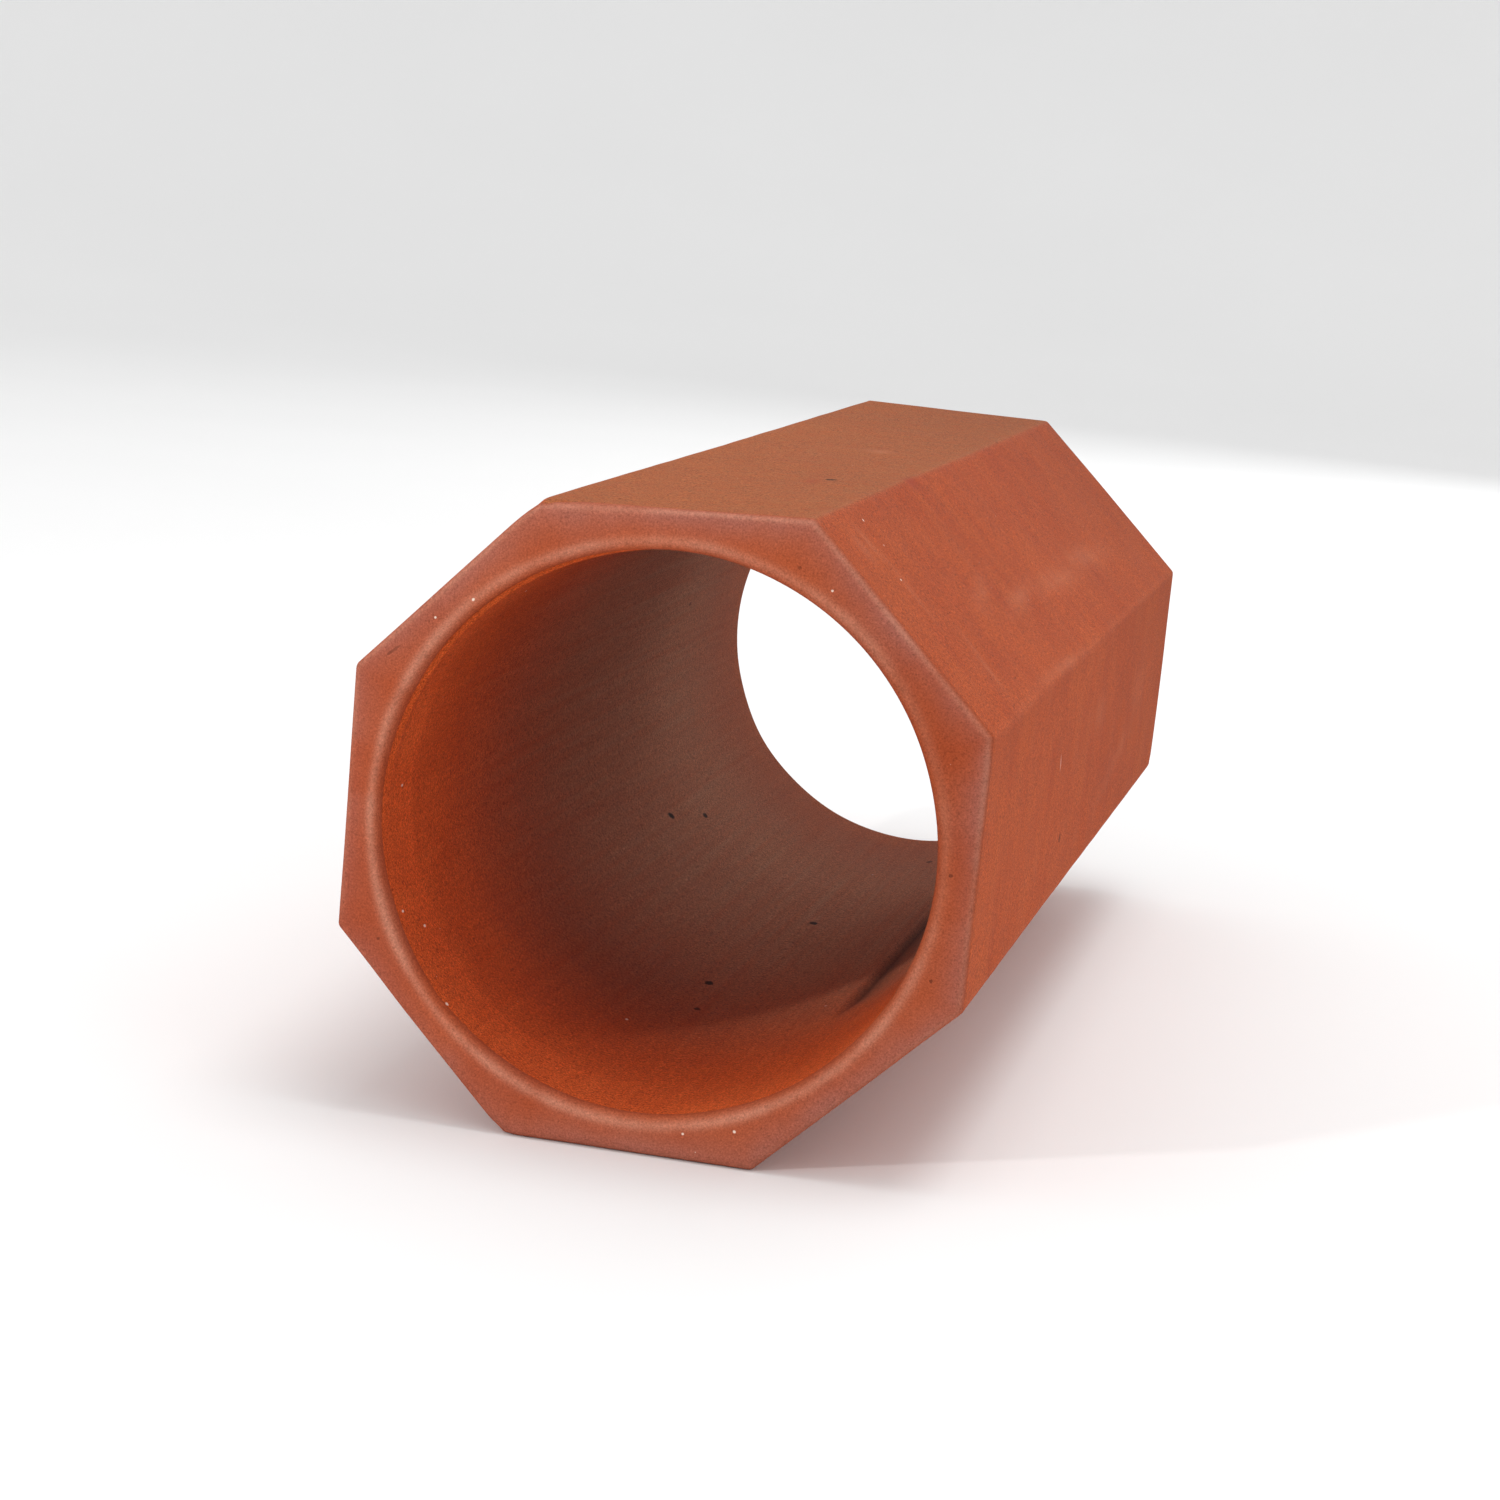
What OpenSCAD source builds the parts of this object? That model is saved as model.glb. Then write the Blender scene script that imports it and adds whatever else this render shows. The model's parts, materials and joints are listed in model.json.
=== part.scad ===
// Stacking tube of fired clay. Its outside has eight equal flats and its bore is round and open at
// both ends. It lies on one flat, with its axis along Y, its front mouth facing -Y and the middle of
// the flat it rests on at the origin. Sizes are in millimetres.

/* [Tube] */
// Distance between two opposite outer flats
across_flats = 120; // [90:1:180]
// Length from the front mouth to the back mouth
tube_length = 300; // [180:5:400]
// Thickness of the wall where it is thinnest, at the middle of each flat
wall_at_flats = 7.5; // [6.5:0.5:15]

/* [Edges] */
// Radius of the rounding where the flats meet the end faces
end_round = 2; // [0.5:0.5:3]
// Radius of the rounded lip where the bore meets the end faces
lip_round = 2.5; // [0.5:0.5:3]
// Depth to which the eight long edges are worn back
long_edge_wear = 0.35; // [0.1:0.05:0.8]

/* [Hidden] */
$fn = 96;
flat_pairs = 4;                          // eight flats, as four pairs that face each other
pair_turn = 180 / flat_pairs;            // angle from one pair of flats to the next
bore_radius = across_flats / 2 - wall_at_flats;
corner_radius = across_flats / 2 / cos(pair_turn / 2);
half_length = tube_length / 2;
past_face = 1;                           // how far a cutter runs past the face that it cuts

// Turns a shape made round Z so that it lies round Y
module lay_along_y() {
    rotate([90, 0, 0]) children();
}

// Plan of a slab with two of the flats as its sides: a rectangle with rounded corners
module slab_plan() {
    square([across_flats - 2 * end_round, tube_length], center = true);
    square([across_flats, tube_length - 2 * end_round], center = true);
    for (side = [-1, 1], end = [-1, 1])
        translate([side * (across_flats / 2 - end_round), end * (half_length - end_round)])
            circle(r = end_round);
}

// The space that the four turned slabs share, which has eight flats and rounded end edges
module eight_flats() {
    intersection_for (pair = [0 : flat_pairs - 1])
        rotate([0, pair * pair_turn, 0])
            linear_extrude(height = 2 * corner_radius, center = true) slab_plan();
}

// Solid outside of the tube, with its eight long edges worn back to one round
module eight_sided_block() {
    intersection() {
        eight_flats();
        lay_along_y()
            cylinder(r = corner_radius - long_edge_wear, h = tube_length + 2 * past_face, center = true);
    }
}

// Section of the flare at one mouth, from the bore out to the face of the lip, for turning
module lip_section() {
    difference() {
        translate([bore_radius - past_face, half_length - lip_round])
            square([lip_round + past_face, lip_round + past_face]);
        translate([bore_radius + lip_round, half_length - lip_round]) circle(r = lip_round);
    }
}

// Space that the bore and its two rounded lips take out of the block
module bore_with_lips() {
    lay_along_y() {
        cylinder(r = bore_radius, h = tube_length + 2 * past_face, center = true);
        for (end = [0, 1]) mirror([0, 0, end]) rotate_extrude() lip_section();
    }
}

// The whole tube, in one body of clay
module clay_tube() {
    color("chocolate")
        translate([0, 0, across_flats / 2])
            difference() {
                eight_sided_block();
                bore_with_lips();
            }
}

clay_tube();
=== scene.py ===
import json

import bpy
import numpy as np
from mathutils import Matrix, Vector


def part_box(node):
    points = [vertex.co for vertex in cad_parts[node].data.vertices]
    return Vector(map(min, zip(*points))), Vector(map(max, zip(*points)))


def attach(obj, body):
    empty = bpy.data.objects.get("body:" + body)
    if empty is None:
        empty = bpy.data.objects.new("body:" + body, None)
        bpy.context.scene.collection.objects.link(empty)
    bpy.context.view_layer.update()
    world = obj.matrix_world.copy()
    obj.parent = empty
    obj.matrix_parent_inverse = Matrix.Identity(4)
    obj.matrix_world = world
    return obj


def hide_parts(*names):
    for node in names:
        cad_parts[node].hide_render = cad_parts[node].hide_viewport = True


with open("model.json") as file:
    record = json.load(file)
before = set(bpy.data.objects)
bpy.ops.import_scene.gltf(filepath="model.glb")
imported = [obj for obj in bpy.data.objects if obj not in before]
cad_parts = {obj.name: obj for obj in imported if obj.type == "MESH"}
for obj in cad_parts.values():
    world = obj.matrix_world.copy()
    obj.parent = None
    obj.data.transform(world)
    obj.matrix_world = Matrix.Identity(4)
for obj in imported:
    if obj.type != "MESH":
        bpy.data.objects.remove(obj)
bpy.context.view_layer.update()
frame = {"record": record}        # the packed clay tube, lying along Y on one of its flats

millimetre = 0.001
lowest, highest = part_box("clay_tube")
boreMount = next(mount for mount in frame["record"]["mounts"] if mount["name"] == "bore")
halfFlats = (highest.x - lowest.x) / 2                  # from the axis to a flat
halfLength = (highest.y - lowest.y) / 2
axisHeight = (highest.z + lowest.z) / 2
boreRadius = boreMount["dims"]["r_mm"] * millimetre
eighth = np.pi / 4                                      # angle that one flat takes up

# What can be changed on the tube. Lengths are in millimetres and angles in degrees. Angles run
# round the axis from +X through +Z, and depths run from the front mouth.
clayTube = {
    "columnsPerFlat": 36,            # mesh columns across one flat
    "columnCrowding": 0.85,          # how much they crowd at the long edges, from 0 to 1
    "rowsAlong": 130,                # mesh rows along the outside, and again along the bore
    "rowCrowding": 0.8,              # how much they crowd at the two ends
    "rowsRound": 9,                  # rows over each rounded edge
    "rowsAcrossEnd": 9,              # rows over the flat of each end
    "longEdgeRadius": 1.6,           # rounding of the eight long edges
    "endRadius": 1.9,                # rounding of the outer edge of each end
    "lipRadius": 2.5,                # rounding of the bore's lips
    "leastRadius": 0.6,              # no long edge is sharper than this
    "unevenness": 0.16,              # how much those radii wander, as a share
    "wanderEvery": {"end": 34, "lip": 27, "longEdge": 46},       # and over what distance
    # how far each long edge is out of true, as (x, z), in turn from the one at 22.5 degrees
    "frontLean": [(0.8, 1.0), (0, 1.2), (-1.4, -0.8), (1, 0.2), (1, 0.3), (0.6, 0), (-1.1, 0), (0, 0)],
    "backLean": [(0.8, 1.0), (-0.6, 1.2), (1.8, 1.8), (1, 0.2), (1, 0.3), (0, 0), (-1.1, 0), (0, 0)],
    "bow": {"height": 0.10, "every": 90},        # long waves in the walls
    "ripple": {"height": 0.03, "every": 19},     # short ones
    "endWave": {"height": 0.06, "every": 40},    # waves in the wire-cut ends
    "oval": {"height": 0.25, "angle": 52, "full": 60},    # how far the bore is from round, past that depth
    # fold in the bore, sharp on one side and soft on the other, with painted shade along it
    "crease": {"angle": 297, "starts": 62, "full": 100, "fades": 250, "ends": 292, "depth": 1.9,
               "step": 0.7, "fadesOver": 13, "shadeOver": 3.0},
    # ridge in the bore behind the front lip, and lines of painted shade beside it, each (depth, width,
    # strength)
    "burr": {"angle": 132, "spread": 38, "depth": 6.0, "width": 1.7, "height": 0.8,
             "shadeLines": [(2.6, 0.5, 1.0), (8.89, 0.9, 0.7)]},
    "knocks": [
        {"angle": 112.5, "depth": 0, "width": 4.0, "height": 0.9},
        {"angle": 247.5, "depth": 0, "width": 2.0, "height": 0.8},
        {"angle": 22.5, "depth": 0, "width": 2.0, "height": 0.35},
        {"angle": 67.5, "depth": 96, "width": 2.0, "height": 0.4},
        {"angle": 157.5, "depth": 300, "width": 3.0, "height": 1.0},
        {"angle": 202.5, "depth": 190, "width": 2.6, "height": 0.5},
        {"angle": 337.5, "depth": 300, "width": 2.0, "height": 0.6},
        {"angle": 270, "depth": 300, "width": 3.0, "height": 0.4},
    ],
    "lipKnocks": [
        {"angle": 223, "depth": 0, "width": 2.0, "height": 0.8},
        {"angle": 184, "depth": 0, "width": 1.3, "height": 0.35},
        {"angle": 95, "depth": 300, "width": 2.0, "height": 0.5},
        {"angle": 330, "depth": 300, "width": 1.5, "height": 0.5},
    ],
    "lipKnockReach": 0.6,            # how far out from the bore the lips' knocks lie
    "knockRoughness": {"share": 0.4, "every": 3.5},
    # pale band round each lip, partly rubbed wear and partly a painted highlight on the lip's rounding,
    # with a faint skirt, and weaker on its plain side
    "lipBand": {"middle": 1.7, "width": 1.05, "skirt": 3, "skirtShare": 0.2,
                "plainSide": 15, "plainSpread": 35, "plainShare": 0.6},
    # pale line over each outer rim, placed by the share of the rounding, and the mauve halo inside it
    "rimLine": {"middle": 0.45, "width": 0.25, "side": 80, "lopsided": 0.45},
    "rimHalo": {"starts": 0.3, "width": 2.6, "side": 30, "lopsided": 0.25},
    "longEdgeLine": 1.2,             # half width of the pale line along each long edge
    "topEdge": 0.004,                # softness of the edges of the dusty top flat
    # rubbed films on the outside, each (angle, depth, half width round, half width along, turn,
    # strength)
    "smears": [
        (43, 78, 1.8, 14, 8, 0.6), (38, 110, 1.9, 20, 3, 0.8), (36.5, 156, 2.2, 28, -2, 0.8),
        (37, 205, 2.4, 26, -4, 0.7), (23.5, 92, 1.2, 28, -1, 0.8), (6, 170, 4.0, 12, 0, 0.5),
        (2, 245, 6.0, 12, 0, 0.4), (61, 24, 4.0, 1.6, 8, 0.8), (50, 26, 7.0, 1.3, -4, 0.8),
        (33, 36, 6.0, 1.3, -14, 0.8), (60, 17, 3.0, 3.0, 0, 0.7), (180, 150, 3.0, 30, 5, 0.7),
        (83.5, 158, 2.4, 4.0, 0, 1.0), (225, 230, 4.0, 18, -20, 0.7), (315, 70, 3.0, 22, 14, 0.7),
        (350, 210, 3.0, 25, 10, 0.5),
    ],
    # rust-red stains and, in the bore, patches of painted shade, both listed like the films
    "rust": [(67, 96, 1.6, 4.5, 0, 1.0), (81, 73, 1.6, 5.0, 0, 0.5), (230, 140, 2.5, 6.0, 0, 0.7)],
    "paintedShadePatches": [(140, 42, 24, 34, 0, 0.2), (245, 84, 34, 36, 0, 0.3)],
    "grey": {"side": 105, "lopsided": 0.45},     # the cut ends are greyest there and across from it
    "dustAndSheen": {"starts": 30, "full": 150, "fades": 220, "ends": 300, "fadeShare": 0.7,
             "side": 200, "lopsided": 0.15},     # dust and painted sheen in the bore
    # painted shade as a share: deep in the bore and towards the back; and darker clay on one side of the
    # ends
    "paintedShadeAndTone": {"bore": 0.42, "boreStarts": 210, "boreFull": 300, "outside": 0.12, "end": 0.13,
              "endSide": 10, "endLopsided": 0.5},
    "sides": {"angle": 67, "share": 0.06},       # painted shade on the flats there and across, painted light on the others
    # painted light inside the front mouth, which stops at this depth on this side
    "paintedMouthLight": {"angle": 205, "spread": 55, "depth": 20.5, "edge": 3, "fades": 7, "share": 0.25},
    "seed": 11,
}


# Sum of plane waves with random headings, about -1 to 1:
# mean of cos(heading . point * 2 pi / wavelength + start), scaled to the same spread for any count
def softNoise(points, wavelength, seed, waves=26):
    draw = np.random.default_rng(seed)
    heading = draw.normal(size=(3, waves))
    heading *= draw.uniform(0.7, 1.35, waves) / np.linalg.norm(heading, axis=0)
    start = draw.uniform(0, 2 * np.pi, waves)
    return np.cos(points @ heading * (2 * np.pi / wavelength) + start).sum(-1) * np.sqrt(0.5 / waves)


# Steps from 0 up to 1 that crowd towards both ends: t - crowding * sin(2 pi t) / (2 pi)
def crowded(count, crowding):
    t = np.linspace(0, 1, count, endpoint=False)
    return t - crowding * np.sin(2 * np.pi * t) / (2 * np.pi)


# 0 below the first limit, 1 above the second, and 3 t^2 - 2 t^3 between them
def smoothRise(value, low, high):
    t = np.clip((value - low) / (high - low), 0, 1)
    return t * t * (3 - 2 * t)


# Angle from the middle of the nearest flat, between -22.5 and 22.5 degrees
def turnFromFlat(angle):
    return (angle + eighth / 2) % eighth - eighth / 2


# Angle round the axis from a place given in degrees, between half a turn back and half a turn on
def turnFrom(angle, degrees):
    return (angle - np.radians(degrees) + np.pi) % (2 * np.pi) - np.pi


# Share that is 1 on one side of the tube and least across from it, or where turns is 2, 1 on both and
# least between them: 1 - lopsided + lopsided * cos(turns * (angle - side))
def sided(angle, side, lopsided, turns=1):
    return 1 - lopsided + lopsided * np.cos(turns * (angle - np.radians(side)))


# Distance from the axis to an octagon with rounded corners. On a flat it is flat / cos(turn), and
# past it the ray leaves the circle that rounds the corner.
def octagonReach(angle, flat, cornerRadius):
    turn = np.abs(turnFromFlat(angle))
    centre = (flat - cornerRadius) / np.cos(eighth / 2)
    fromCorner = eighth / 2 - turn
    overhang = np.sqrt(np.maximum(cornerRadius ** 2 - (centre * np.sin(fromCorner)) ** 2, 0))
    onCorner = turn > np.arctan((flat - cornerRadius) * np.tan(eighth / 2) / flat)
    return np.where(onCorner, centre * np.cos(fromCorner) + overhang, flat / np.cos(turn))


# How far the outside moves where its long edges are out of true. Between two long edges the move
# runs evenly from one edge's to the next one's, so a flat stays flat.
def leanAt(angle, depthShare, frontLean, backLean):
    turn = turnFromFlat(angle)
    flatNumber = np.round((angle - turn) / eighth).astype(int)
    before, after = (flatNumber - 1) % 8, flatNumber % 8                 # the long edges beside it
    across = ((np.tan(turn) / np.tan(eighth / 2) + 1) / 2)[:, None]
    front, back = np.array(frontLean, float), np.array(backLean, float)
    atFront = front[before] * (1 - across) + front[after] * across
    atBack = back[before] * (1 - across) + back[after] * across
    return atFront + (atBack - atFront) * depthShare[..., None]


# The crease: out of the bore's wall in one sharp step at the crease's angle, and back along a curve
# that dies away with the distance round: exp(-distance / fadesOver)
def creaseDepth(angle, fromFront, bore, spec, fadesOver):
    roundFrom = turnFrom(angle, spec["angle"]) * bore
    fold = smoothRise(roundFrom, 0, spec["step"]) * np.exp(-np.maximum(roundFrom, 0) / fadesOver)
    hold = smoothRise(fromFront, spec["starts"], spec["full"])
    hold = hold * (1 - smoothRise(fromFront, spec["fades"], spec["ends"]))
    return fold * hold


# A film is exp(-u^2 - v^2), with u and v the distances round and along from its middle in half
# widths, turned by its turn
def filmAt(angle, fromFront, reach, films):
    cover = 0 * reach
    for middle, depth, halfRound, halfAlong, turn, strength in films:
        turned = np.radians(turn)
        roundFrom = turnFrom(angle, middle) * reach
        u = (roundFrom * np.cos(turned) - (fromFront - depth) * np.sin(turned)) / halfRound
        v = (roundFrom * np.sin(turned) + (fromFront - depth) * np.cos(turned)) / halfAlong
        cover = np.maximum(cover, strength * np.exp(-u ** 2 - v ** 2))
    return cover


# The burr's ridge, exp(-(distance from its depth / width) ^ 2), and its lines of painted shade, which have
# the same form. Both die away round the tube as exp(-(turn from the burr / spread) ^ 4).
def burrAt(angle, fromFront, burr):
    hold = np.exp(-((angle - np.radians(burr["angle"])) / np.radians(burr["spread"])) ** 4)
    ridge = np.exp(-((fromFront - burr["depth"]) / burr["width"]) ** 2)
    shadeLines = sum(paintedShade * np.exp(-((fromFront - depth) / width) ** 2) for depth, width, paintedShade in burr["shadeLines"])
    return hold * ridge, hold * shadeLines


# The rows that walk round the section of the wall: which stretch each is on, and its share of it
def sectionRows(spec):
    rounding = np.linspace(0, 1, spec["rowsRound"], endpoint=False)
    acrossEnd = np.linspace(0, 1, spec["rowsAcrossEnd"], endpoint=False)
    lengthwise = crowded(spec["rowsAlong"], spec["rowCrowding"])
    stretches = [("outside", lengthwise), ("backEdge", rounding), ("backEnd", acrossEnd),
                 ("backLip", rounding), ("bore", lengthwise), ("frontLip", rounding),
                 ("frontEnd", acrossEnd), ("frontEdge", rounding)]
    part = np.concatenate([[name] * len(steps) for name, steps in stretches])[:, None]
    along = np.concatenate([steps for name, steps in stretches])[:, None]
    return part, along


# The tube as one closed grid. A column is an angle round the axis, and the rows walk round the
# section of the wall: along the outside, over the back end, back through the bore, over the front.
def makeTube(spec):
    half, flat, bore = halfLength / millimetre, halfFlats / millimetre, boreRadius / millimetre
    seed = spec["seed"]
    perFlat = crowded(spec["columnsPerFlat"], spec["columnCrowding"])
    angle = ((np.arange(8)[:, None] + perFlat) * eighth - eighth / 2).ravel()
    ring = np.stack([np.cos(angle), np.zeros_like(angle), np.sin(angle)], axis=-1)
    lengthways = np.array([0, 1, 0])
    part, along = sectionRows(spec)
    rising, falling = np.sin(along * np.pi / 2), np.cos(along * np.pi / 2)
    atBack = np.char.startswith(part, "back")

    # edge radii that wander round each end and along each long edge
    def wandering(radius, points, every, draw):
        return radius * (1 + spec["unevenness"] * np.clip(softNoise(points, every, draw), -2, 2))

    every, least = spec["wanderEvery"], spec["leastRadius"]
    frontRing, backRing = ring * flat - half * lengthways, ring * flat + half * lengthways
    frontRound = wandering(spec["endRadius"], frontRing, every["end"], seed)
    backRound = wandering(spec["endRadius"], backRing, every["end"], seed)
    frontLip = wandering(spec["lipRadius"], frontRing, every["lip"], seed + 1)
    backLip = wandering(spec["lipRadius"], backRing, every["lip"], seed + 1)
    edgeRound = np.where(atBack, backRound, frontRound)
    lipRound = np.where(atBack, backLip, frontLip)

    # where each row lies along the axis, and how far it stands in from the flats
    fromEnd = np.select(
        [part == "backEdge", part == "frontEdge", part == "backLip", part == "frontLip"],
        [edgeRound * (1 - rising), edgeRound * (1 - falling),
         lipRound * (1 - falling), lipRound * (1 - rising)], 0 * edgeRound)
    depth = np.select(
        [part == "outside", part == "bore"],
        [frontRound - half + along * (2 * half - backRound - frontRound),
         half - backLip - along * (2 * half - backLip - frontLip)],
        np.where(atBack, half - fromEnd, fromEnd - half))
    inset = np.select([part == "backEdge", part == "frontEdge"],
                      [edgeRound * (1 - falling), edgeRound * (1 - rising)], 0 * edgeRound)

    # distance from the axis: on the octagon, on the bore, or part of the way across an end
    onFlats = ring * flat + depth[..., None] * lengthways
    longRound = wandering(spec["longEdgeRadius"], onFlats, every["longEdge"], seed + 2)
    outer = octagonReach(angle, flat - inset, np.maximum(longRound - inset / 2, least))
    outerRim = octagonReach(angle, flat - edgeRound, np.maximum(longRound - edgeRound / 2, least))
    innerRim = bore + lipRound
    reach = np.select(
        [part == "backEnd", part == "frontEnd", part == "backLip", part == "frontLip", part == "bore"],
        [outerRim + (innerRim - outerRim) * along, innerRim + (outerRim - innerRim) * along,
         bore + lipRound * (1 - rising), bore + lipRound * (1 - falling), bore + 0 * outer], outer)
    place = ring * reach[..., None] + depth[..., None] * lengthways

    # the wall's own unevenness: long edges out of true, slow waves, an oval bore, the crease, a burr
    fromFront = depth + half
    inBore = 1 - np.clip((reach - bore) / (outerRim - bore), 0, 1)       # 1 on the bore, 0 outside
    lean = leanAt(angle, fromFront / (2 * half), spec["frontLean"], spec["backLean"])
    place[..., 0] += (1 - inBore) * lean[..., 0]
    place[..., 2] += (1 - inBore) * lean[..., 1]
    outwards = spec["bow"]["height"] * softNoise(place * [1, 0.5, 1], spec["bow"]["every"], seed + 3)
    oval = np.cos(2 * (angle - np.radians(spec["oval"]["angle"])))
    oval = oval * smoothRise(fromFront, 0, spec["oval"]["full"])
    crease = creaseDepth(angle, fromFront, bore, spec["crease"], spec["crease"]["fadesOver"])
    ridge, burrShadeLines = burrAt(angle, fromFront, spec["burr"])
    outwards += inBore * (spec["oval"]["height"] * oval + spec["crease"]["depth"] * crease)
    outwards -= inBore * spec["burr"]["height"] * ridge
    place = place + ring * outwards[..., None]

    # fine unevenness and knocks, pushed along the surface's normal
    acrossRows = np.roll(place, -1, 0) - np.roll(place, 1, 0)
    acrossColumns = np.roll(place, -1, 1) - np.roll(place, 1, 1)
    normal = np.cross(acrossRows, acrossColumns)
    normal /= np.linalg.norm(normal, axis=-1, keepdims=True)
    normal *= np.sign((normal[0] * ring).sum(-1).mean())
    onEnd = (part != "outside") & (part != "bore")
    push = spec["ripple"]["height"] * softNoise(place, spec["ripple"]["every"], seed + 4)
    push += onEnd * spec["endWave"]["height"] * softNoise(place, spec["endWave"]["every"], seed + 5)
    roughness = spec["knockRoughness"]
    roughly = 1 + roughness["share"] * softNoise(place, roughness["every"], seed + 6)
    for knocks, onLip in ((spec["knocks"], False), (spec["lipKnocks"], True)):
        for knock in knocks:
            turn = np.radians(knock["angle"])
            onEdge = octagonReach(turn, flat, spec["longEdgeRadius"])
            out = bore + spec["lipKnockReach"] if onLip else onEdge
            centre = np.array([out * np.cos(turn), knock["depth"] - half, out * np.sin(turn)])
            away = np.linalg.norm((place - centre) / knock["width"], axis=-1)
            push -= knock["height"] * np.exp(-away ** 2) * roughly
    place = place + normal * push[..., None]
    place[..., 2] = np.maximum(place[..., 2], -flat)                     # it rests on its lowest flat

    fields = wearFields(spec, angle, part, along, reach, innerRim, outerRim)
    fields.update(clayFields(spec, angle, part, reach, fromFront))
    # painted shade along the crease, darkest at its sharp side
    foldShade = creaseDepth(angle, fromFront, bore, spec["crease"], spec["crease"]["shadeOver"])
    fields["crease"] = inBore * foldShade
    # painted shade lines beside the burr's ridge
    fields["grooveShade"] = np.where(part == "bore", burrShadeLines, 0)
    return place * millimetre + [0, 0, axisHeight], fields


# Where the clay is cut or rubbed, with painted highlight in the lips' bands, as shares: 0 is untouched
def wearFields(spec, angle, part, along, reach, innerRim, outerRim):
    flat, bore = halfFlats / millimetre, boreRadius / millimetre
    isLip, isEdge, isFace = (np.char.endswith(part, name) for name in ("Lip", "Edge", "End"))
    onEnd = isLip | isEdge | isFace
    lipBand, rimLine, halo = spec["lipBand"], spec["rimLine"], spec["rimHalo"]

    fromBand = reach - bore - lipBand["middle"]
    band = np.exp(-(fromBand / lipBand["width"]) ** 2)
    band = band + lipBand["skirtShare"] * np.exp(-np.abs(fromBand) / lipBand["skirt"])
    fromPlain = turnFrom(angle, lipBand["plainSide"]) / np.radians(lipBand["plainSpread"])
    band = band * (1 - lipBand["plainShare"] * np.exp(-fromPlain ** 2))

    fromFace = np.where(np.char.startswith(part, "back"), 1 - along, along)     # 0 at the end's face
    line = np.exp(-((fromFace - rimLine["middle"]) / rimLine["width"]) ** 2)
    inHalo = np.where(isEdge, 1 - smoothRise(fromFace, halo["starts"], 1), 0)
    inHalo = inHalo + np.where(isFace, np.exp(-(outerRim - reach) / halo["width"]), 0)

    fromLongEdge = flat * (np.tan(eighth / 2) - np.abs(np.tan(turnFromFlat(angle))))
    rimward = np.clip((reach - innerRim) / (outerRim - innerRim), 0, 1)
    grey = sided(angle, spec["grey"]["side"], spec["grey"]["lopsided"], turns=2)
    return {
        "cutEnd": np.where(onEnd, 1.0, 0.0),
        "inBore": np.where(part == "bore", 1.0, 0.0),
        "rimward": np.where(onEnd, rimward * grey, 0.0),
        "lipWearAndHighlight": np.where(isLip | isFace, band, 0),
        "edgeWear": np.where(isEdge, line, 0) * sided(angle, rimLine["side"], rimLine["lopsided"]),
        "rimHalo": inHalo * sided(angle, halo["side"], halo["lopsided"]),
        "longEdgeWear": np.where(part == "outside", np.exp(-(fromLongEdge / spec["longEdgeLine"]) ** 2), 0),
    }


# What lies on the clay and how dark it is. The shade is painted shade, with darker clay on the ends, as a
# share to take away, and below 0 it is painted light.
def clayFields(spec, angle, part, reach, fromFront):
    half = halfLength / millimetre
    dustAndSheen, paintedShadeAndTone, sides, paintedMouthLight = spec["dustAndSheen"], spec["paintedShadeAndTone"], spec["sides"], spec["paintedMouthLight"]
    isBore, isOutside = part == "bore", part == "outside"

    dustAndSheenMask = smoothRise(fromFront, dustAndSheen["starts"], dustAndSheen["full"])
    dustAndSheenMask = dustAndSheenMask * (1 - dustAndSheen["fadeShare"] * smoothRise(fromFront, dustAndSheen["fades"], dustAndSheen["ends"]))
    dustAndSheenMask = dustAndSheenMask * sided(angle, dustAndSheen["side"], dustAndSheen["lopsided"])

    pastMouthLight = fromFront - paintedMouthLight["depth"]
    mouthLight = 1 - smoothRise(pastMouthLight, -paintedMouthLight["edge"], paintedMouthLight["edge"])
    mouthLight = mouthLight * np.exp(-np.abs(pastMouthLight) / paintedMouthLight["fades"])
    mouthLight = mouthLight * np.exp(-(turnFrom(angle, paintedMouthLight["angle"]) / np.radians(paintedMouthLight["spread"])) ** 4)

    borePaintedShade = paintedShadeAndTone["bore"] * smoothRise(fromFront, paintedShadeAndTone["boreStarts"], paintedShadeAndTone["boreFull"])
    borePaintedShade = borePaintedShade + filmAt(angle, fromFront, reach, spec["paintedShadePatches"]) - paintedMouthLight["share"] * mouthLight
    outsidePaintedShade = paintedShadeAndTone["outside"] * smoothRise(fromFront, half, 2 * half)
    outsidePaintedShade = outsidePaintedShade + sides["share"] * np.cos(2 * (angle - np.radians(sides["angle"])))
    endShade = paintedShadeAndTone["end"] * sided(angle, paintedShadeAndTone["endSide"], paintedShadeAndTone["endLopsided"]) ** 2 + 0 * reach

    pastEdge = np.cos(angle - np.pi / 2) - np.cos(eighth / 2)            # over 0 on the top flat
    topFlat = smoothRise(pastEdge, -spec["topEdge"], spec["topEdge"])
    return {
        "dustAndSheenMask": np.where(isBore, dustAndSheenMask, 0),
        "paintedShadeAndTone": np.select([isBore, isOutside], [borePaintedShade, outsidePaintedShade], endShade),
        "topFlat": np.where(isOutside, topFlat, 0),
        "smear": np.where(isOutside, filmAt(angle, fromFront, reach, spec["smears"]), 0),
        "rust": np.where(isOutside, filmAt(angle, fromFront, reach, spec["rust"]), 0),
    }


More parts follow.
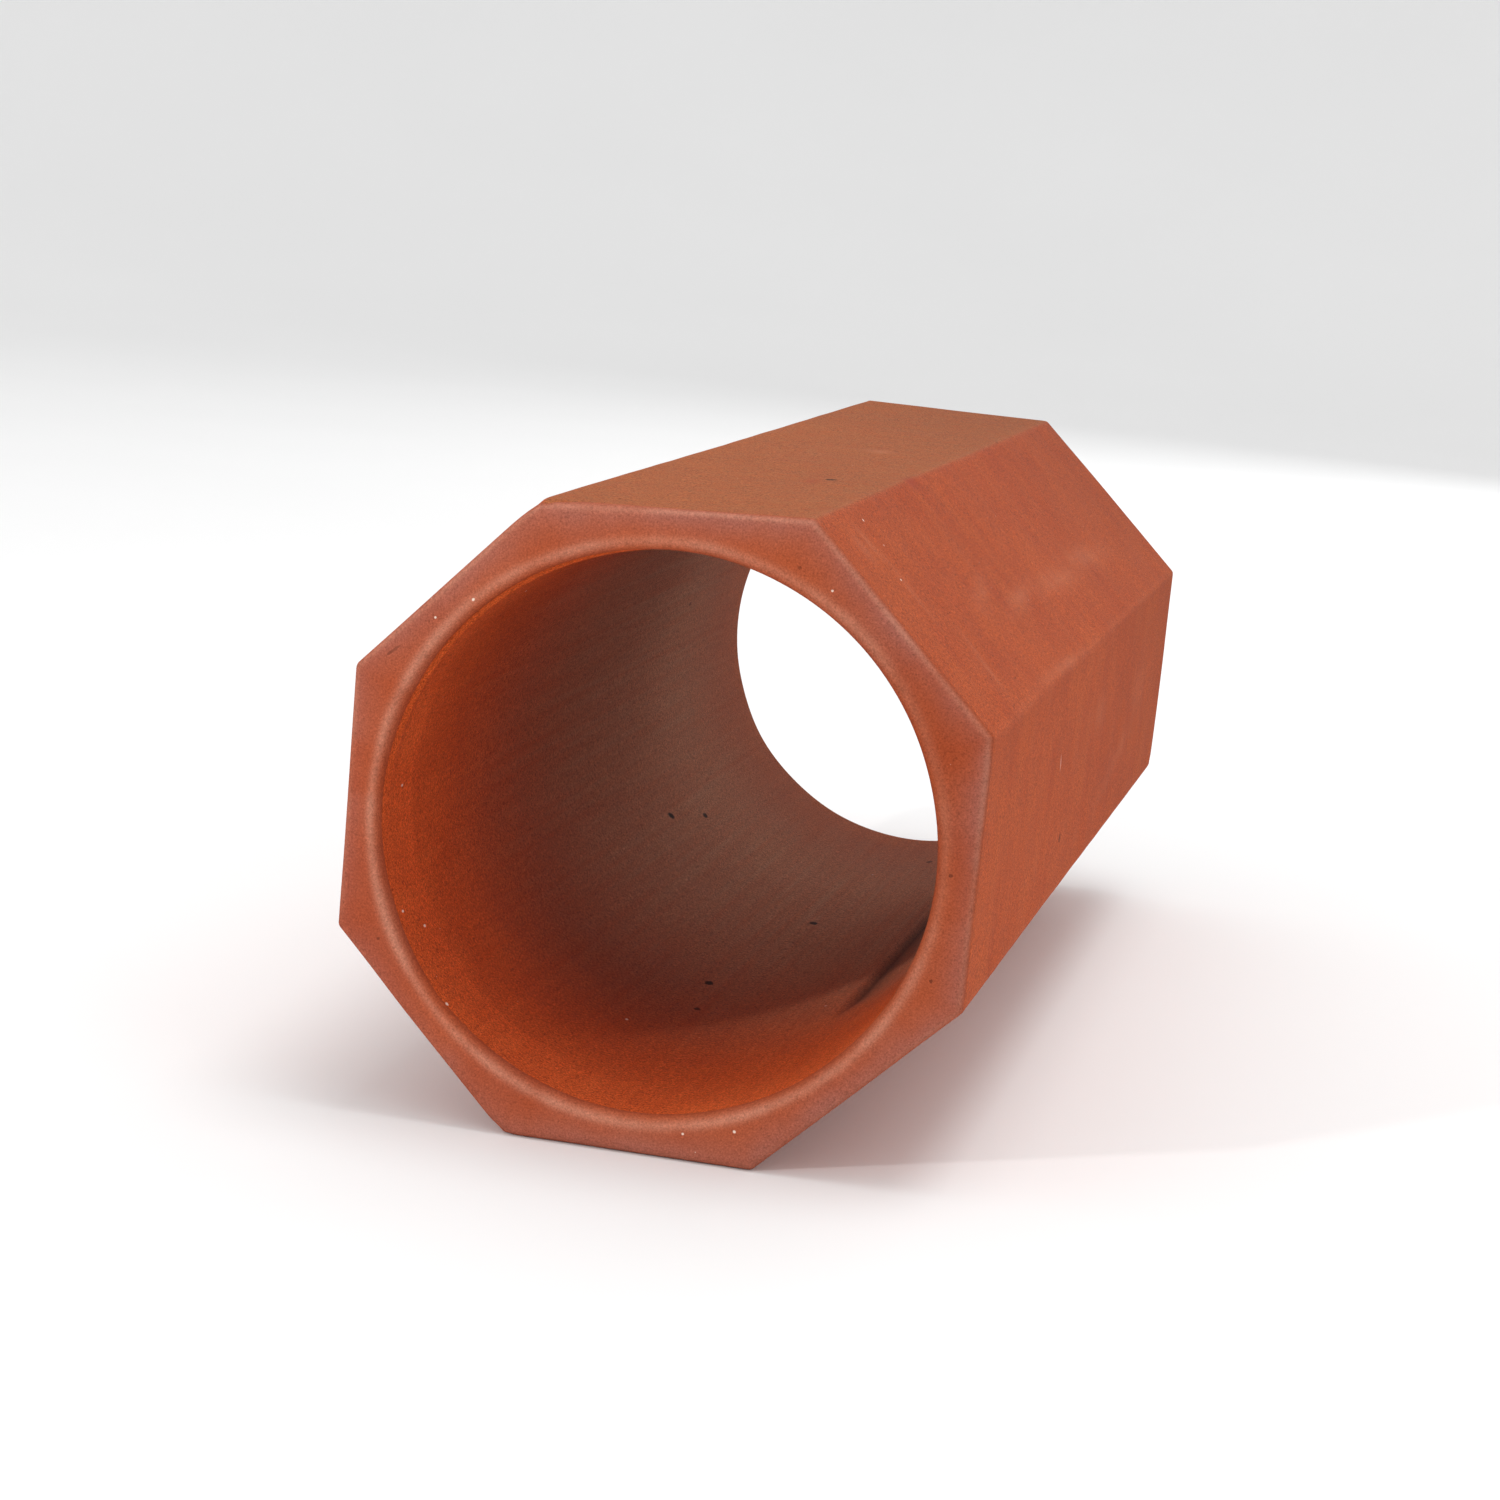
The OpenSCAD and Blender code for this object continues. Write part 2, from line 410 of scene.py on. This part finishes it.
# Quads between each point, the next one in its row, and the same two in the next row. Both ways close
# on themselves. Each field is kept at the points, for the finish to read.
def meshFromGrid(name, place, fields):
    rows, columns = place.shape[:2]
    index = np.arange(rows * columns).reshape(rows, columns)
    nextRow, nextColumn = np.roll(index, -1, 0), np.roll(index, -1, 1)
    both = np.roll(nextRow, -1, 1)
    quads = np.stack([index, nextColumn, both, nextRow], axis=-1).reshape(-1, 4)
    mesh = bpy.data.meshes.new(name)
    mesh.from_pydata(place.reshape(-1, 3), [], quads.tolist())
    for label, field in fields.items():
        store = mesh.attributes.new(label, "FLOAT", "POINT")
        everywhere = np.broadcast_to(field, (rows, columns)).astype(np.float32)
        store.data.foreach_set("value", everywhere.ravel())
    mesh.polygons.foreach_set("use_smooth", np.ones(len(quads), bool))
    mesh.update()
    piece = bpy.data.objects.new(name, mesh)
    bpy.context.scene.collection.objects.link(piece)
    return piece


class Wire:              # a socket of a node tree, with the sums that can be done on it
    def __init__(self, board, socket):
        self.board = board
        self.socket = socket

    def maths(self, operation, first, second):
        return self.board.add("ShaderNodeMath", {"operation": operation}, {0: first, 1: second})

    def __add__(self, other):
        return self.maths("ADD", self, other)

    def __radd__(self, other):
        return self.maths("ADD", other, self)

    def __sub__(self, other):
        return self.maths("SUBTRACT", self, other)

    def __rsub__(self, other):
        return self.maths("SUBTRACT", other, self)

    def __mul__(self, other):
        return self.maths("MULTIPLY", self, other)

    def __rmul__(self, other):
        return self.maths("MULTIPLY", other, self)

    def orMore(self, other):
        return self.maths("MAXIMUM", self, other)


class Board:             # the nodes of one material
    def __init__(self, name):
        self.material = bpy.data.materials.new(name)
        self.material.use_nodes = True
        self.tree = self.material.node_tree
        self.tree.nodes.clear()

    # any node, from its type, its settings, and the values or wires of its sockets
    def add(self, kind, settings=None, inputs=None, output=0):
        node = self.tree.nodes.new(kind)
        for name, value in (settings or {}).items():
            setattr(node, name, value)
        for name, value in (inputs or {}).items():
            if isinstance(value, Wire):
                self.tree.links.new(value.socket, node.inputs[name])
            else:
                node.inputs[name].default_value = value
        return Wire(self, node.outputs[output]) if node.outputs else node

    def noise(self, place, perMillimetre, detail=3.0, roughness=0.55):
        return self.add("ShaderNodeTexNoise", {"noise_dimensions": "3D"}, {
            "Vector": place, "Scale": perMillimetre, "Detail": detail, "Roughness": roughness})

    # 0 below low, 1 above high
    def between(self, value, low, high):
        return self.add("ShaderNodeMapRange", {"interpolation_type": "SMOOTHSTEP"}, {
            "Value": value, "From Min": low, "From Max": high, "To Min": 0.0, "To Max": 1.0})

    def blend(self, share, first, second):
        return self.add("ShaderNodeMix", {"data_type": "RGBA"}, {0: share, 6: first, 7: second}, output=2)

    def stretched(self, place, scale):
        return self.add("ShaderNodeMapping", {}, {"Vector": place, "Scale": scale})

    def field(self, name):
        return self.add("ShaderNodeAttribute", {"attribute_name": name}, {}, output=2)

    def finish(self, surface):
        self.add("ShaderNodeOutputMaterial", {}, {"Surface": surface})
        return self.material


# What can be changed in the clay's finish. Sizes are in millimetres, and a pattern's waves are counted
# in one millimetre.
firedClay = {
    "deep": (0.325, 0.047, 0.010, 1), "warm": (0.405, 0.070, 0.016, 1),            # the outside's range
    "boreDeep": (0.53, 0.085, 0.0185, 1), "boreWarm": (0.61, 0.111, 0.026, 1),     # and the bore's
    "bloom": (0.42, 0.104, 0.034, 1), "bloomShare": 0.2,         # pale film on the outside
    "smear": (0.50, 0.165, 0.085, 1), "smearShare": 0.3,         # rubbed films
    "dustAndSheen": (0.29, 0.112, 0.042, 1), "dustAndSheenShare": 0.55,          # dust and painted sheen on the top flat
    "boreDustAndSheen": (0.56, 0.30, 0.18, 1), "boreDustAndSheenShare": 0.8,     # and in the bore
    "cut": (0.37, 0.13, 0.085, 1), "cutShare": 0.44,             # wire-cut ends
    "rim": (0.34, 0.13, 0.105, 1), "rimShare": 0.55,             # their mauve outer rim
    # pale wear on the lips, rims and long edges; on the lips it is also painted highlight
    "worn": (0.62, 0.30, 0.205, 1), "lipWornAndHighlight": 0.45, "rimWorn": 0.375, "longEdgeWorn": 0.045,
    # near-black painted shade in pits, along the crease and beside the burr
    "paintedShade": (0.03, 0.010, 0.007, 1), "pitShadeShare": 0.95, "creaseShadeShare": 0.9, "grooveShadeShare": 0.5,
    "lime": (0.88, 0.74, 0.62, 1), "limeShare": 0.85, "fleckShare": 0.5,
    "rust": (0.30, 0.045, 0.018, 1),
    # where the clay lies between its two colours: a sum of patterns, spread over a range
    "tone": {"base": 0.02, "cloud": 0.4, "mottle": 0.56, "drag": 0.36, "wipe": 0.14, "range": (0.32, 0.7)},
    "cloudWaves": 0.013, "mottleWaves": 0.07, "patchWaves": 0.09, "speckWaves": 0.45,
    "dragWaves": 0.5, "wipeWaves": 0.28, "grainWaves": 1.1, "gritWaves": 2.6,
    "dragStretch": (1.0, 0.02, 1.0), "wipeStretch": (0.10, 1.0, 0.10), "wipeBend": 40,
    "grainLight": 1.1, "gritLight": 2.8,         # how strongly the grain lightens and darkens
    "endCalm": 0.5,                              # how much less it does so on the cut ends
    "relief": {"grain": 0.12, "grit": 0.06, "drag": 0.2, "wipe": 0.05, "mottle": 0.2, "pit": 0.5},
    "roughness": 0.85, "gloss": 0.12,
    "limeEvery": 11.0, "limeRadius": 0.6, "gritEvery": 4.5, "gritRadius": 0.22,
    "pitEvery": 14.0, "pitRadius": 0.55,
    "markDepth": 3.0,                            # how far each mark reaches into and out of the clay
    "limeSoftness": 0.5, "pitSoftness": 0.35, "raggedness": 0.9,
}

# Pits and lime specks, each (where, angle, depth from the front or distance out from the axis on an
# end, half width round the tube, half width along it, turn, strength)
marks = {
    "pit": [
        ("bore", 219, 190, 1.0, 2.0, 20, 1), ("bore", 224, 213, 0.9, 1.8, 0, 1),
        ("bore", 267, 181, 1.1, 1.7, 0, 1), ("bore", 259, 106, 1.1, 2.0, 0, 1),
        ("bore", 262, 84, 0.9, 1.3, 0, 0.9), ("bore", 167, 234, 0.7, 1.4, 0, 0.5),
        ("bore", 281, 265, 0.9, 1.8, 0, 0.8), ("bore", 60, 90, 0.9, 1.4, 0, 0.9),
        ("frontEnd", 340, 57.3, 0.45, 0.4, 0, 0.6), ("frontEnd", 207, 56.8, 0.4, 0.4, 0, 0.5),
        ("outside", 79, 80, 1.5, 1.6, 0, 1), ("outside", 347.7, 118.4, 1.2, 1.6, 0, 0.6),
        ("frontEnd", 151, 59, 2.3, 0.3, -21, 0.38), ("frontEnd", 0.1, 55.6, 0.4, 0.5, 0, 0.6),
        ("frontEnd", 66.2, 57.1, 0.5, 0.4, 0, 0.4), ("outside", 150, 210, 1.2, 0.6, 0, 0.9),
    ],
    "lime": [
        ("bore", 204, 6, 0.32, 0.7, 0, 1), ("bore", 209, 14, 0.36, 0.8, 0, 1),
        ("bore", 225, 3, 0.47, 0.6, 0, 1), ("bore", 179, 14, 0.32, 0.7, 0, 0.9),
        ("bore", 133, 30, 0.32, 0.43, 0, 0.7), ("bore", 252, 60, 0.4, 0.7, 0, 0.8),
        ("bore", 291, 89, 0.36, 0.5, 0, 0.8), ("frontEnd", 133, 54.3, 0.36, 0.32, 0, 1),
        ("frontEnd", 141, 56.6, 0.29, 0.29, 0, 0.9), ("frontEnd", 281, 55.6, 0.29, 0.29, 0, 0.9),
        ("frontEnd", 291, 56.5, 0.36, 0.36, 0, 1), ("frontEnd", 59, 56.9, 0.3, 0.3, 0, 0.8),
        ("outside", 65, 33, 0.43, 0.43, 0, 1), ("outside", 53, 25, 0.36, 0.5, 0, 1),
        ("outside", 5, 105, 2.4, 0.5, 20, 0.45),
    ],
}


# Each mark is a ball about its centre, squeezed to the mark's two half widths and turned on the
# surface: its share is 1 inside, and falls to 0 towards the ball's skin
def markShare(board, place, ragged, mark, markDepth, softness):
    where, angle, position, halfRound, halfAlong, turn, strength = mark
    turned = np.radians(angle)
    outward = Vector((np.cos(turned), 0, np.sin(turned)))
    if where == "frontEnd":
        reach, fromFront, along, normal = position, 0, outward, Vector((0, -1, 0))
    elif where == "bore":
        reach, fromFront, along, normal = boreRadius / millimetre, position, Vector((0, 1, 0)), outward
    else:
        reach = float(octagonReach(turned, halfFlats / millimetre, clayTube["longEdgeRadius"]))
        middle = turned - turnFromFlat(turned)                           # of the flat that it is on
        fromFront, along, normal = position, Vector((0, 1, 0)), Vector((np.cos(middle), 0, np.sin(middle)))
    centre = outward * reach + Vector((0, fromFront - halfLength / millimetre, axisHeight / millimetre))
    axes = Matrix((along.cross(normal), along, normal)).transposed()
    axes = axes @ Matrix.Rotation(np.radians(turn), 3, "Z")
    local = board.add("ShaderNodeMapping", {"vector_type": "TEXTURE"}, {
        "Vector": place, "Location": centre, "Rotation": axes.to_euler("XYZ"),
        "Scale": (halfRound, halfAlong, markDepth)})
    away = board.add("ShaderNodeVectorMath", {"operation": "LENGTH"}, {0: local}, output=1)
    return (1 - board.between(away + ragged, 1 - softness, 1.0)) * strength


# Small balls about scattered points, with none in some of the cells: the share falls from 1 to 0 over
# the outer part of a ball, and a ball's size comes from its cell's own chance
def scatteredShare(board, place, every, radius, stretch, filled):
    cell = {"Vector": board.stretched(place, stretch), "Scale": 1 / every, "Randomness": 1.0}
    distance = board.add("ShaderNodeTexVoronoi", {"feature": "F1"}, cell)
    chance = board.add("ShaderNodeTexVoronoi", {"feature": "F1"}, cell, output=1)
    chance = board.add("ShaderNodeSeparateColor", {}, {0: chance})
    size = board.between(chance, 1 - filled, 1.35) * (radius / every)
    return board.between(size - distance, 0.0, 0.3 * radius / every)


# The clay's finish. The clay's own colour comes first, then the films, and the dust with painted sheen over
# it, the grain with the painted shade and light, the specks, stains and the painted shade in pits, and last
# the relief and the roughness.
def makeClay(spec):
    board = Board("worn_fired_clay")
    place = board.stretched(board.add("ShaderNodeTexCoord", output=3), (1 / millimetre,) * 3)
    onEnd, inBore, rimward = board.field("cutEnd"), board.field("inBore"), board.field("rimward")
    outside = 1 - onEnd.orMore(inBore)

    # clouds, mottling, grain of two sizes, drag lines along the bore and wipe marks round the outside
    cloud = board.noise(place, spec["cloudWaves"], 2.0)
    mottle = board.noise(place, spec["mottleWaves"], 4.0, 0.62)
    grain = board.noise(place, spec["grainWaves"], 3.0, 0.75)
    grit = board.noise(place, spec["gritWaves"], 2.0, 0.8)
    speck = board.noise(place, spec["speckWaves"], 3.0, 0.7)
    drag = board.noise(board.stretched(place, spec["dragStretch"]), spec["dragWaves"], 3.0, 0.6)
    bend = board.add("ShaderNodeCombineXYZ", {}, {1: (cloud - 0.5) * spec["wipeBend"]})
    bent = board.add("ShaderNodeVectorMath", {"operation": "ADD"}, {0: place, 1: bend})
    wipe = board.noise(board.stretched(bent, spec["wipeStretch"]), spec["wipeWaves"], 4.0, 0.6)
    share = spec["tone"]
    tone = cloud * share["cloud"] + mottle * share["mottle"] + share["base"]
    tone = tone + (drag - 0.5) * inBore * share["drag"] + (wipe - 0.5) * (1 - inBore) * share["wipe"]
    warmth = board.between(tone, *share["range"])
    colour = board.blend(warmth, board.blend(inBore, spec["deep"], spec["boreDeep"]),
                         board.blend(inBore, spec["warm"], spec["boreWarm"]))

    # films, dust and painted sheen over it, the cut ends, their rims, and what is rubbed pale or painted as
    # highlight
    patchy = board.between(board.noise(place, spec["patchWaves"], 2.0, 0.5), 0.3, 0.7)
    film = outside * spec["bloomShare"] * (patchy * 0.7 + board.between(wipe, 0.35, 0.7) * 0.25 + 0.45)
    colour = board.blend(film, colour, spec["bloom"])
    topDustAndSheen = board.field("topFlat") * spec["dustAndSheenShare"] * (speck * 1.8 + 0.1)
    colour = board.blend(topDustAndSheen, colour, spec["dustAndSheen"])
    colour = board.blend(onEnd * spec["cutShare"] * (rimward + patchy * 0.2 + 0.1), colour, spec["cut"])
    rim = board.field("rimHalo") * spec["rimShare"] * (patchy * 0.5 + 0.5)
    colour = board.blend(rim, colour, spec["rim"])
    boreDustAndSheen = board.field("dustAndSheenMask") * spec["boreDustAndSheenShare"] * (drag * 0.8 + 0.6)
    colour = board.blend(boreDustAndSheen, colour, spec["boreDustAndSheen"])
    worn = board.field("lipWearAndHighlight") * spec["lipWornAndHighlight"] + board.field("edgeWear") * spec["rimWorn"]
    worn = (worn + board.field("longEdgeWear") * spec["longEdgeWorn"]) * (patchy * 0.4 + 0.6)
    colour = board.blend(worn, colour, spec["worn"])

    # the grain's light and dark, and the painted shade and light, with darker clay on the ends
    light = (grain - 0.5) * spec["grainLight"] + (grit - 0.5) * spec["gritLight"]
    light = light * (1 - onEnd * spec["endCalm"]) + 1.0
    light = light * (1 - board.field("paintedShadeAndTone"))
    colour = board.add("ShaderNodeVectorMath", {"operation": "SCALE"}, {0: colour, "Scale": light})

    # rubbed films, stains, lime specks, and painted shade in pits, along the crease and beside the burr
    ragged = (grain - 0.5) * spec["raggedness"]
    depth = spec["markDepth"]
    lime = scatteredShare(board, place, spec["limeEvery"], spec["limeRadius"], (1.0, 1.0, 1.0), 0.6)
    fleck = scatteredShare(board, place, spec["gritEvery"], spec["gritRadius"], (1.0, 1.0, 1.0), 0.8)
    scatteredPit = scatteredShare(board, place, spec["pitEvery"], spec["pitRadius"], (1.0, 0.6, 1.0), 0.5)
    smear = board.field("smear") * (patchy * 0.15 + spec["smearShare"])
    colour = board.blend(smear, colour, spec["smear"])
    colour = board.blend(board.field("rust"), colour, spec["rust"])
    for mark in marks["lime"]:
        lime = lime.orMore(markShare(board, place, ragged, mark, depth, spec["limeSoftness"]))
    pale = lime.orMore(fleck * spec["fleckShare"]) * spec["limeShare"]
    colour = board.blend(pale, colour, spec["lime"])
    pit = scatteredPit
    for mark in marks["pit"]:
        pit = pit.orMore(markShare(board, place, ragged, mark, depth, spec["pitSoftness"]))
    foldShades = (board.field("crease") * spec["creaseShadeShare"]).orMore(board.field("grooveShade") * spec["grooveShadeShare"])
    colour = board.blend((pit * spec["pitShadeShare"]).orMore(foldShades), colour, spec["paintedShade"])

    relief = spec["relief"]
    height = grain * relief["grain"] + grit * relief["grit"] + mottle * relief["mottle"]
    height = height + drag * inBore * relief["drag"] + wipe * outside * relief["wipe"]
    height = height - scatteredPit * relief["pit"]
    bump = board.add("ShaderNodeBump", {}, {"Strength": 1.0, "Distance": millimetre, "Height": height})
    rough = spec["roughness"] + (grain - 0.5) * 0.2 + (mottle - 0.5) * 0.12
    return board.finish(board.add("ShaderNodeBsdfPrincipled", {}, {
        "Base Color": colour, "Roughness": rough, "Normal": bump, "IOR": 1.45,
        "Specular IOR Level": spec["gloss"]}))


tubePlace, tubeFields = makeTube(clayTube)
print("clay tube shaped:", tubePlace.shape[0], "rows of", tubePlace.shape[1], "points")
tube = meshFromGrid("clay_tube_body", tubePlace, tubeFields)
tube.data.materials.append(makeClay(firedClay))
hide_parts("clay_tube")
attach(tube, "root")
print("clay tube made:", len(tube.data.polygons), "faces,", len(marks["pit"] + marks["lime"]), "marks")

# White paper under the tube and the sky round it, in metres
studio = {"flatRadius": 1.9, "rimRadius": 4.2, "rimHeight": 2.2, "hubRadius": 0.02, "rings": 40,
          "spokes": 96, "colour": (0.92, 0.92, 0.92, 1), "mottle": (0.88, 0.88, 0.88, 1),
          "mottleWaves": 3.0, "roughness": 0.9, "skyStrength": 0.79}


# A round floor that curves up at its rim: height = rimHeight * rise ^ 2
def makeFloor(spec):
    rings, spokes = spec["rings"], spec["spokes"]
    reach = np.linspace(spec["hubRadius"], spec["rimRadius"], rings)[:, None]
    turn = np.linspace(0, 2 * np.pi, spokes, endpoint=False)
    rise = np.clip((reach - spec["flatRadius"]) / (spec["rimRadius"] - spec["flatRadius"]), 0, 1)
    height = spec["rimHeight"] * rise ** 2 + 0 * turn
    place = np.stack([reach * np.cos(turn), reach * np.sin(turn), height], -1)
    index = np.arange(rings * spokes).reshape(rings, spokes)
    inner, outer = index[:-1], index[1:]
    quads = np.stack([inner, outer, np.roll(outer, -1, 1), np.roll(inner, -1, 1)], -1).reshape(-1, 4)
    mesh = bpy.data.meshes.new("floor")
    mesh.from_pydata(place.reshape(-1, 3), [], quads.tolist() + [index[0].tolist()])
    mesh.polygons.foreach_set("use_smooth", np.ones(len(mesh.polygons), bool))
    board = Board("floor_paper")
    mottle = board.noise(board.add("ShaderNodeTexCoord", output=3), spec["mottleWaves"], 2.0)
    colour = board.blend(mottle, spec["colour"], spec["mottle"])
    mesh.materials.append(board.finish(board.add("ShaderNodeBsdfPrincipled", {}, {
        "Base Color": colour, "Roughness": spec["roughness"]})))
    floor = bpy.data.objects.new("floor", mesh)
    bpy.context.scene.collection.objects.link(floor)
    return floor


makeFloor(studio)
print("floor made")
world = bpy.data.worlds.new("soft_sky")
world.use_nodes = True
world.node_tree.nodes["Background"].inputs["Color"].default_value = (1, 1, 1, 1)
world.node_tree.nodes["Background"].inputs["Strength"].default_value = studio["skyStrength"]
bpy.context.scene.world = world
bpy.context.scene.view_settings.view_transform = "Standard"

# Round lamps that face the middle of the tube. Distances and sizes are in metres.
lamps = {
    "leftLamp": {"towards": (-0.50, -0.785, 0.364), "distance": 1.6, "size": 0.09, "watts": 5.8},
    "rightLamp": {"towards": (0.80, -0.56, 0.24), "distance": 1.6, "size": 0.6, "watts": 1.6},
    "backLamp": {"towards": (0.20, 0.88, 0.34), "distance": 1.6, "size": 0.8, "watts": 4.0},
    "topLamp": {"towards": (0.15, -0.05, 1.0), "distance": 1.6, "size": 0.8, "watts": 8.6},
}


# A round lamp at its distance from the middle of the tube, turned to face it
def makeLamp(name, spec):
    lamp = bpy.data.lights.new(name, "AREA")
    lamp.shape = "DISK"
    lamp.size = spec["size"]
    lamp.energy = spec["watts"]
    holder = bpy.data.objects.new(name, lamp)
    target = Vector((0, 0, axisHeight))
    holder.location = target + Vector(spec["towards"]).normalized() * spec["distance"]
    holder.rotation_euler = (target - holder.location).to_track_quat("-Z", "Y").to_euler()
    bpy.context.scene.collection.objects.link(holder)


for lampName, lampSpec in lamps.items():
    makeLamp(lampName, lampSpec)
print("sky and", len(lamps), "lamps made")

# Where the camera stands about its aim: angles in degrees, with azimuth from -Y towards +X
viewpoint = {"aim": (-0.014, -0.0043, 0.0527), "azimuth": 11.97, "elevation": 9.77, "roll": -5.03,
             "distance": 0.7959, "lens": 85.67}


# The camera's frame, from its three angles: back points from the aim to the camera
def makeCamera(spec):
    azimuth, elevation, roll = (np.radians(spec[name]) for name in ("azimuth", "elevation", "roll"))
    level = np.cos(elevation)
    back = Vector((np.sin(azimuth) * level, -np.cos(azimuth) * level, np.sin(elevation)))
    right = Vector((0, 0, 1)).cross(back).normalized()
    up = back.cross(right) * np.cos(roll) + right * np.sin(roll)
    data = bpy.data.cameras.new("camera")
    data.lens = spec["lens"]
    camera = bpy.data.objects.new("camera", data)
    turn = Matrix((up.cross(back), up, back)).transposed().to_4x4()
    camera.matrix_world = Matrix.Translation(Vector(spec["aim"]) + back * spec["distance"]) @ turn
    bpy.context.scene.collection.objects.link(camera)
    return camera


bpy.context.scene.camera = makeCamera(viewpoint)
print("camera made")
